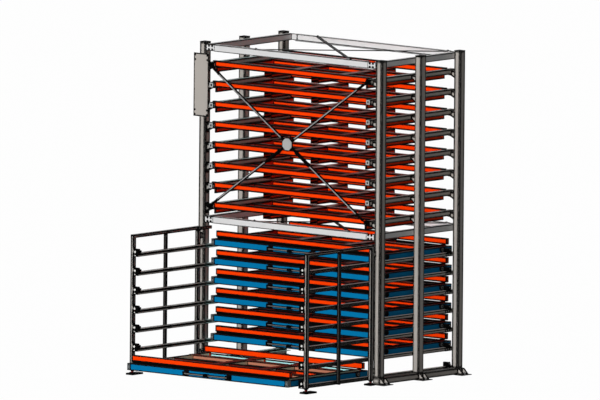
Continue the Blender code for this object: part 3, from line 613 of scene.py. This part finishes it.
# stops behind the wheels at the rear end of every lower rail, on bolted plates
lowerRails = {"levels": 7, "pitch": 0.2785, "top": 0.122}
rearStops = {"front": 1.674, "length": 0.0715, "height": 0.063, "slope": 0.62, "lift": 0.0004,
             "cover": 0.0012, "inner": 1.5455, "outer": 1.6290, "soft": 0.003}
stopPlates = {"inner": 1.6301, "outer": 1.637, "soft": 0.0012,
              "outline": ((-0.062, -0.052), (0.078, -0.052), (0.078, 0.006), (0.052, 0.066), (0.004, 0.066),
                          (0.004, 0.002), (-0.062, 0.002)),
              "bolts": ((-0.040, -0.026, 0.011, 0.007), (0.008, -0.022, 0.011, 0.007),
                        (0.055, -0.030, 0.011, 0.007), (0.030, 0.044, 0.010, 0.006))}
shape = bmesh.new()
heads = bmesh.new()
for side in sides.values():
    stop = rearStops
    plate = stopPlates
    front = setBack + stop["front"]
    for level in range(lowerRails["levels"]):
        top = lowerRails["top"] + level * lowerRails["pitch"]
        foot = top + stop["lift"]
        crest = top + stop["height"]
        outline = [(front - stop["cover"], foot), (front + stop["length"], foot),
                   (front + stop["slope"] * stop["length"], crest), (front - stop["cover"], crest)]
        low, high = sorted((side * stop["inner"], side * stop["outer"]))
        addPrism(shape, outline, low, high, stop["soft"])
        outline = [(front + back, top + lift) for back, lift in plate["outline"]]
        low, high = sorted((side * plate["inner"], side * plate["outer"]))
        addPrism(shape, outline, low, high, plate["soft"])
        for back, lift, across, height in plate["bolts"]:
            addBolt(heads, (side * plate["outer"], front + back, top + lift), (side, 0, 0), across, height)
finishPiece("rearStops", shape, blackSteel, "rack", sharpAngles["bolts"])
finishPiece("stopHeads", heads, rodSteel, "rack", sharpAngles["bolts"])

# stops, latch fingers and pale rollers on the front ends of the ladder rails
frontStops = {"front": -1.579, "length": 0.061, "height": 0.065, "slope": 0.62, "lift": 0.0004,
              "cover": 0.0008, "gap": 0.0002, "drop": 0.0520, "inner": 1.5445, "outer": 1.6384}
latchFingers = {"inner": 1.598, "outer": 1.630, "start": 0.050, "end": 0.140, "height": 0.030, "soft": 0.004}
rollerRows = ({"lift": 0.019, "radius": 0.017, "height": 0.007, "sides": 24, "soft": 0.002},
              {"lift": -0.036, "radius": 0.009, "height": 0.005, "sides": 18, "soft": 0.0015})
rollerAcross = 1.605
latchKnobs = {"seat": 1.6413, "back": 0.086, "lift": -0.020, "radius": 0.019, "height": 0.018, "sides": 20,
              "soft": 0.004, "boltAcross": 0.012, "boltHeight": 0.006}
shape = bmesh.new()
rollers = bmesh.new()
for side in sides.values():
    stop = frontStops
    finger = latchFingers
    knob = latchKnobs
    front = setBack + stop["front"]
    for level in range(lowerRails["levels"]):
        top = lowerRails["top"] + level * lowerRails["pitch"]
        foot = top + stop["lift"]
        crest = top + stop["height"]
        drop = top - stop["drop"]
        outline = [(front - stop["cover"], drop), (front - stop["cover"], crest),
                   (front + stop["slope"] * stop["length"], crest), (front + stop["length"], foot),
                   (front + stop["gap"], foot), (front + stop["gap"], drop)]
        low, high = sorted((side * stop["inner"], side * stop["outer"]))
        addPrism(shape, outline, low, high, 0.0)
        low, high = sorted((side * finger["inner"], side * finger["outer"]))
        addBlock(shape, (low, front + finger["start"], foot),
                 (high, front + finger["end"], top + finger["height"]), finger["soft"])
        for row in rollerRows:
            seat = (side * rollerAcross, front - stop["cover"], top + row["lift"])
            addDisc(rollers, seat, (0, -1, 0), row["radius"], row["height"], row["sides"], row["soft"])
        seat = Vector((side * knob["seat"], front + knob["back"], top + knob["lift"]))
        addDisc(shape, seat, (side, 0, 0), knob["radius"], knob["height"], knob["sides"], knob["soft"])
        seat.x += side * knob["height"]
        addBolt(shape, seat, (side, 0, 0), knob["boltAcross"], knob["boltHeight"])
finishPiece("frontStops", shape, blackSteel, "rack", sharpAngles["bolts"])
finishPiece("stopRollers", rollers, paleRoller, "rack", sharpAngles["bolts"])

# levelling feet under the ladder posts: pads with washers, nuts and red collars
levelPads = {"centre": 1.6665, "rows": ((-1.550, 0.0695, 0.1705), (-0.097, 0.0755, 0.0300)), "half": 0.0655,
             "low": 0.0005, "top": 0.027, "soft": 0.004}
levelWashers = {"seat": 0.025, "radius": 0.044, "height": 0.012, "sides": 24, "soft": 0.002}
levelNuts = {"seat": 0.050, "radius": 0.026, "height": 0.0155, "sides": 6, "soft": 0.001}
levelCollars = {"seat": 0.0375, "radius": 0.020, "height": 0.012, "sides": 24, "soft": 0.003}
shape = bmesh.new()
collars = bmesh.new()
for side in sides.values():
    for row, ahead, behind in levelPads["rows"]:
        across = side * levelPads["centre"]
        back = setBack + row
        half = levelPads["half"]
        addBlock(shape, (across - half, back - ahead, levelPads["low"]),
                 (across + half, back + behind, levelPads["top"]), levelPads["soft"])
        for made, ring in ((shape, levelWashers), (shape, levelNuts), (collars, levelCollars)):
            addDisc(made, (across, back, ring["seat"]), (0, 0, 1), ring["radius"], ring["height"],
                    ring["sides"], ring["soft"])
finishPiece("levelNuts", shape, blackSteel, "rack", sharpAngles["bolts"])
finishPiece("levelCollars", collars, redCollar, "rack", sharpAngles["bolts"])
print("stops and feet made")

# front X brace: hub boss and ring, fork ends with pins, sleeves with pale flats, turnbuckles
braceLines = {"low": 2.360, "high": 4.439, "reach": 1.504, "plane": -0.045}
hubBoss = {"face": -0.0635, "radius": 0.094, "height": 0.006, "sides": 8}
hubRing = {"sunk": 0.0056, "radius": 0.106, "height": 0.005, "sides": 24, "soft": 0.001}
forkEnds = ({"back": 0.190, "radius": 0.020, "length": 0.120, "sides": 14, "soft": 0.004},
            {"back": 0.215, "radius": 0.024, "length": 0.028, "sides": 6, "soft": 0.002})
forkPins = {"ahead": 0.0182, "across": 0.022, "height": 0.010}
rodSleeves = {"start": 0.100, "shorter": 0.300, "radius": 0.0205, "sides": 12, "soft": 0.002}
rodFlats = {"highStart": 0.160, "lowStart": 0.520, "ahead": 0.0155, "longer": 0.080, "radius": 0.0095,
            "sides": 10, "soft": 0.001}
turnbuckle = ({"start": 0.186, "radius": 0.030, "length": 0.040, "sides": 6, "soft": 0.003},
              {"start": 0.226, "radius": 0.026, "length": 0.228, "sides": 18, "soft": 0.002},
              {"start": 0.454, "radius": 0.030, "length": 0.040, "sides": 6, "soft": 0.003})


def addBarrel(shape, seat, along, part):
    addDisc(shape, seat, along, part["radius"], part["length"], part["sides"], part["soft"])


middle = Vector((0.0, setBack + braceLines["plane"], (braceLines["low"] + braceLines["high"]) / 2))
face = Vector((0.0, setBack + hubBoss["face"], middle.z))
shape = bmesh.new()
addDisc(shape, face, (0, -1, 0), hubBoss["radius"], hubBoss["height"], hubBoss["sides"])
halfSide = Matrix.Rotation(math.pi / hubBoss["sides"], 3, "Y")
bmesh.ops.rotate(shape, verts=shape.verts, cent=face, matrix=halfSide)
finishPiece("hubBoss", shape, painted["hub"], "rack", sharpAngles["bolts"])
shape = bmesh.new()
cores = bmesh.new()
for side in sides.values():
    for end in ("low", "high"):
        tip = Vector((side * braceLines["reach"], middle.y, braceLines[end]))
        along = (tip - middle).normalized()
        for part in forkEnds:
            addBarrel(shape, tip - along * part["back"], along, part)
        pin = tip - Vector((0.0, forkPins["ahead"], 0.0))
        addBolt(shape, pin, (0, -1, 0), forkPins["across"], forkPins["height"])
        length = (tip - middle).length - rodSleeves["shorter"]
        addBarrel(shape, middle + along * rodSleeves["start"], along, {**rodSleeves, "length": length})
        start = rodFlats[end + "Start"]
        seat = middle + along * start - Vector((0.0, rodFlats["ahead"], 0.0))
        addBarrel(cores, seat, along, {**rodFlats, "length": length + rodFlats["longer"] - start})
        if end == "low":
            for part in turnbuckle:
                addBarrel(shape, middle + along * part["start"], along, part)
ringSeat = face + Vector((0.0, hubRing["sunk"], 0.0))
addDisc(shape, ringSeat, (0, -1, 0), hubRing["radius"], hubRing["height"], hubRing["sides"], hubRing["soft"])
finishPiece("braceForks", shape, blackSteel, "rack", sharpAngles["bolts"])
finishPiece("braceCores", cores, painted["hub"], "rack", sharpAngles["plates"])
print("front brace dressed")

# each drawer: corner plates, handle, front wheels with axle nuts, and an angle behind the front
drawers = {"count": 7, "halfWidth": 1.537, "front": 0.062, "travel": 1.870, "bottom": 0.100, "pitch": 0.2785,
           "height": 0.104}
cornerPlates = {"proud": 0.0045, "gap": 0.0002, "soft": 0.0003,
                "strip": {"inner": 0.0435, "edge": 0.0020, "inset": 0.013},
                "shadow": {"inner": 0.0610, "edge": 0.0437, "inset": 0.001},
                "sideGap": 0.0035, "sideInset": 0.0005, "sideReach": 0.061,
                "boltIn": 0.026, "boltLifts": (0.026, 0.078), "boltAcross": 0.009, "boltHeight": 0.003}
handles = {"span": 0.888, "bracket": 0.072, "reach": 0.052, "lift": 0.050, "cover": 0.0008,
           "coverGap": 0.0004, "coverRise": 0.0308,
           "boltSteps": (-0.018, 0.018), "boltAcross": 0.010, "boltHeight": 0.004,
           "barBack": 0.015, "bar": 0.0175, "paleRod": 0.0080, "paleRodAhead": 0.0125, "sides": 20,
           "clamp": 0.100, "clampAhead": 0.0225, "clampBack": 0.0135, "clampRise": 0.0245, "soft": 0.006,
           "button": 0.015, "buttonHeight": 0.004, "buttonSoft": 0.001}
frontWheels = {"gap": 0.0040, "width": 0.024, "radius": 0.0425, "bore": 0.012, "back": 0.326, "lift": 0.0653,
               "axle": 0.0125, "axleProud": 0.0036, "axleSides": 18, "axleSoft": 0.001,
               "nutAcross": 0.016, "nutHeight": 0.006}
seatAngles = {"half": 1.490, "soft": 0.001,
              "legs": ({"front": 0.0405, "back": 0.0745, "low": 0.020, "high": 0.027},
                       {"front": 0.0660, "back": 0.0745, "low": 0.026, "high": 0.132}),
              "boltSteps": range(-3, 4), "boltPitch": 0.45, "boltBack": 0.053, "boltLift": 0.027,
              "boltAcross": 0.008, "boltHeight": 0.004}


def drawerFront(level):  # the lowest drawer stands pulled out
    pulled = drawers["travel"] if level == 0 else 0.0
    return setBack + drawers["front"] - pulled


def drawerFloor(level):
    return drawers["bottom"] + level * drawers["pitch"]


def addCornerPlate(plates, dark, side, front, floor):
    part = cornerPlates
    outer = drawers["halfWidth"]
    face = front - part["proud"]
    top = floor + drawers["height"]
    for made, strip in ((plates, part["strip"]), (dark, part["shadow"])):
        low, high = sorted((side * (outer - strip["inner"]), side * (outer - strip["edge"])))
        addBlock(made, (low, face, floor + strip["inset"]),
                 (high, front - part["gap"], top - strip["inset"]), part["soft"])
    low, high = sorted((side * (outer + part["sideGap"]), side * (outer + part["proud"])))
    addBlock(plates, (low, face, floor + part["sideInset"]),
             (high, front + part["sideReach"], top - part["sideInset"]), part["soft"])
    for lift in part["boltLifts"]:
        seat = (side * (outer - part["boltIn"]), face, floor + lift)
        addBolt(dark, seat, (0, -1, 0), part["boltAcross"], part["boltHeight"])


def addHandleBracket(dark, side, front, floor):
    part = handles
    centre = side * (part["span"] - part["bracket"]) / 2
    half = part["bracket"] / 2 + part["cover"]
    face = front - part["reach"] - part["cover"]
    lift = floor + part["lift"]
    addBlock(dark, (centre - half, face, lift - part["coverRise"]),
             (centre + half, front - part["coverGap"], lift + part["coverRise"]), part["soft"])
    for step in part["boltSteps"]:
        addBolt(dark, (centre, face, lift + step), (0, -1, 0), part["boltAcross"], part["boltHeight"])


def addHandleBar(dark, paleRod, front, floor):  # pale rod before a wider black cylinder that is painted shadow round it, and the clamp in the middle
    part = handles
    lift = floor + part["lift"]
    depth = front - part["reach"] + part["barBack"]
    end = (part["span"] - part["bracket"]) / 2
    # black cylinder: painted shadow round the rod
    addDisc(dark, (-end, depth, lift), (1, 0, 0), part["bar"], 2 * end, part["sides"])
    addDisc(paleRod, (-end, depth - part["paleRodAhead"], lift), (1, 0, 0), part["paleRod"], 2 * end, part["sides"])
    half = part["clamp"] / 2
    face = depth - part["clampAhead"]
    addBlock(dark, (-half, face, lift - part["clampRise"]),
             (half, depth + part["clampBack"], lift + part["clampRise"]), part["soft"])
    addDisc(dark, (0.0, face, lift), (0, -1, 0), part["button"], part["buttonHeight"], part["sides"],
            part["buttonSoft"])


def addFrontWheel(tyres, dark, side, front, floor):
    part = frontWheels
    across = side * (drawers["halfWidth"] + part["gap"] + part["width"] / 2)
    wheel = Vector((across, front + part["back"], floor + part["lift"]))
    addTyre(tyres, wheel, part["radius"], part["width"], part["bore"])
    reach = Vector((side * (part["width"] / 2 + part["axleProud"]), 0.0, 0.0))
    length = part["width"] + 2 * part["axleProud"]
    addDisc(dark, wheel - reach, (side, 0, 0), part["axle"], length, part["axleSides"], part["axleSoft"])
    addBolt(dark, wheel + reach, (side, 0, 0), part["nutAcross"], part["nutHeight"])


def addSeatAngle(seat, front, floor):  # angle that the cassette is set down against
    part = seatAngles
    for leg in part["legs"]:
        addBlock(seat, (-part["half"], front + leg["front"], floor + leg["low"]),
                 (part["half"], front + leg["back"], floor + leg["high"]), part["soft"])
    for step in part["boltSteps"]:
        spot = (step * part["boltPitch"], front + part["boltBack"], floor + part["boltLift"])
        addBolt(seat, spot, (0, 0, 1), part["boltAcross"], part["boltHeight"])


for level in range(drawers["count"]):
    word = str(level + 1)
    body = "drawer_" + word
    front = drawerFront(level)
    floor = drawerFloor(level)
    plates = bmesh.new()
    dark = bmesh.new()
    paleRod = bmesh.new()
    tyres = bmesh.new()
    seat = bmesh.new()
    for side in sides.values():
        addCornerPlate(plates, dark, side, front, floor)
        addHandleBracket(dark, side, front, floor)
        addFrontWheel(tyres, dark, side, front, floor)
    addSeatAngle(seat, front, floor)
    addHandleBar(dark, paleRod, front, floor)
    finishPiece("seatAngle_" + word, seat, blackSteel, body, sharpAngles["bolts"])
    finishPiece("cornerPlates_" + word, plates, plateSteel, body, sharpAngles["plates"])
    finishPiece("handleBlack_" + word, dark, blackSteel, body, sharpAngles["bolts"])
    finishPiece("handleRod_" + word, paleRod, rodSteel, body, sharpAngles["bolts"])
    finishPiece("frontTyres_" + word, tyres, wheelTyre, body)
print("drawers dressed")

# flat bars on edge that tie the runners and the fork tubes of the cassettes
ties = {"bays": ((-1.4287, -0.5193), (-0.3807, 0.3807), (0.5193, 1.4287)), "thickness": 0.036, "low": 0.006,
        "high": 0.072, "soft": 0.001}
lowerTies = {"rows": (0.42, 1.26), "middleRow": (0.84,), "front": 0.075, "foot": 0.0483}
upperTies = {"rows": (0.459, 1.274), "middleRow": (0.8665,), "front": -0.022, "foot": 2.254, "pitch": 0.297,
             "count": 8}


def makeTies(name, front, foot, rows, material, body):
    shape = bmesh.new()
    for row in rows:
        for start, end in ties["bays"]:
            low = (start, front + row, foot + ties["low"])
            high = (end, front + row + ties["thickness"], foot + ties["high"])
            addBlock(shape, low, high, ties["soft"])
    finishPiece(name, shape, material, body, sharpAngles["ties"])


# the middle row of ties carries painted shade
paintedShadeTie = painted["paintedShadeTie"]
for level in range(drawers["count"]):
    word = str(level + 1)
    body = "drawer_" + word
    front = drawerFront(level) + lowerTies["front"]
    foot = drawerFloor(level) + lowerTies["foot"]
    paint = painted["openTie" if level == 0 else "tie"]
    makeTies("lowerTies_" + word, front, foot, lowerTies["rows"], paint, body)
    makeTies("lowerMiddleTie_" + word, front, foot, lowerTies["middleRow"], paintedShadeTie, body)
for level in range(upperTies["count"]):
    word = str(level + 1)
    body = "upper_cassette_" + word
    front = upperTies["front"]
    foot = upperTies["foot"] + level * upperTies["pitch"]
    makeTies("upperTies_" + word, front, foot, upperTies["rows"], painted["tie"], body)
    makeTies("upperMiddleTie_" + word, front, foot, upperTies["middleRow"], paintedShadeTie, body)
print("cassette ties made")

# hub faces of the rear wheels
hubCaps = {"proud": 0.0006, "radius": 0.027, "width": 0.0040, "bore": 0.0125}
for level in range(drawers["count"]):
    for where, side in sides.items():
        wheel = str(level + 1) + "_" + where
        low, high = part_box("wheel_" + wheel)
        middle = (low + high) / 2
        middle.x = (high.x if side > 0 else low.x) + side * hubCaps["proud"]
        shape = bmesh.new()
        addTyre(shape, middle, hubCaps["radius"], hubCaps["width"], hubCaps["bore"])
        finishPiece("hubCap_" + wheel, shape, plateSteel, "wheel_" + wheel)
print("wheels dressed")

# floor, world and lamps
white = (1.0, 1.0, 1.0, 1.0)
floorPlane = {"segments": 4, "size": 150.0, "drop": 0.001, "matt": (0.40, 0.40, 0.40, 1.0), "glow": 0.985}
ambient = 0.06
lamps = {
    "keySoft": {"toward": (0.06, -0.90, 0.36), "strength": 0.6, "angle": 12.0, "shadow": True},
    "keyOpen": {"toward": (0.06, -0.90, 0.36), "strength": 2.5, "angle": 1.0, "shadow": False},
    "backFill": {"toward": (-0.45, 0.80, 0.40), "strength": 0.7, "angle": 20.0, "shadow": True},
}


def seenPath(tree):  # 1 for rays that show the studio itself, 0 for those that light the rack
    path = tree.nodes.new("ShaderNodeLightPath")
    seen = Wire(tree, path.outputs["Is Camera Ray"])
    seen = seen + Wire(tree, path.outputs["Is Glossy Ray"])
    seen = seen + Wire(tree, path.outputs["Is Transmission Ray"])
    return addNode(tree, "ShaderNodeClamp", None, {"Value": seen})


def makeFloor():
    shape = bmesh.new()
    segments = floorPlane["segments"]
    bmesh.ops.create_grid(shape, x_segments=segments, y_segments=segments, size=floorPlane["size"])
    bmesh.ops.translate(shape, verts=shape.verts, vec=(0.0, 0.0, -floorPlane["drop"]))
    mesh = bpy.data.meshes.new("studioFloor")
    shape.to_mesh(mesh)
    shape.free()
    floor = bpy.data.objects.new("studioFloor", mesh)
    bpy.context.scene.collection.objects.link(floor)
    material = bpy.data.materials.new("paleFloor")
    material.use_nodes = True
    tree = material.node_tree
    tree.nodes.clear()
    glow = addNode(tree, "ShaderNodeEmission", None, {"Color": white, "Strength": 1.0})
    matt = addNode(tree, "ShaderNodeBsdfDiffuse", None, {"Color": floorPlane["matt"]})
    share = seenPath(tree) * floorPlane["glow"]
    both = addNode(tree, "ShaderNodeMixShader", None, {0: share, 1: matt, 2: glow})
    out = tree.nodes.new("ShaderNodeOutputMaterial")
    tree.links.new(both.socket, out.inputs["Surface"])
    mesh.materials.append(material)


def makeWorld():
    world = bpy.data.worlds.new("paleStudio")
    bpy.context.scene.world = world
    world.use_nodes = True
    tree = world.node_tree
    tree.nodes.clear()
    strength = seenPath(tree) * (1.0 - ambient) + ambient
    light = addNode(tree, "ShaderNodeBackground", None, {"Color": white, "Strength": strength})
    out = tree.nodes.new("ShaderNodeOutputWorld")
    tree.links.new(light.socket, out.inputs["Surface"])


def makeLamp(name, spec):
    lamp = bpy.data.lights.new(name, "SUN")
    lamp.energy = spec["strength"]
    lamp.angle = math.radians(spec["angle"])
    lamp.use_shadow = spec["shadow"]
    item = bpy.data.objects.new(name, lamp)
    bpy.context.scene.collection.objects.link(item)
    item.matrix_world = standOn(spec["toward"])


makeFloor()
makeWorld()
for name, spec in lamps.items():
    makeLamp(name, spec)
bpy.context.scene.view_settings.view_transform = "Standard"
print("studio made")
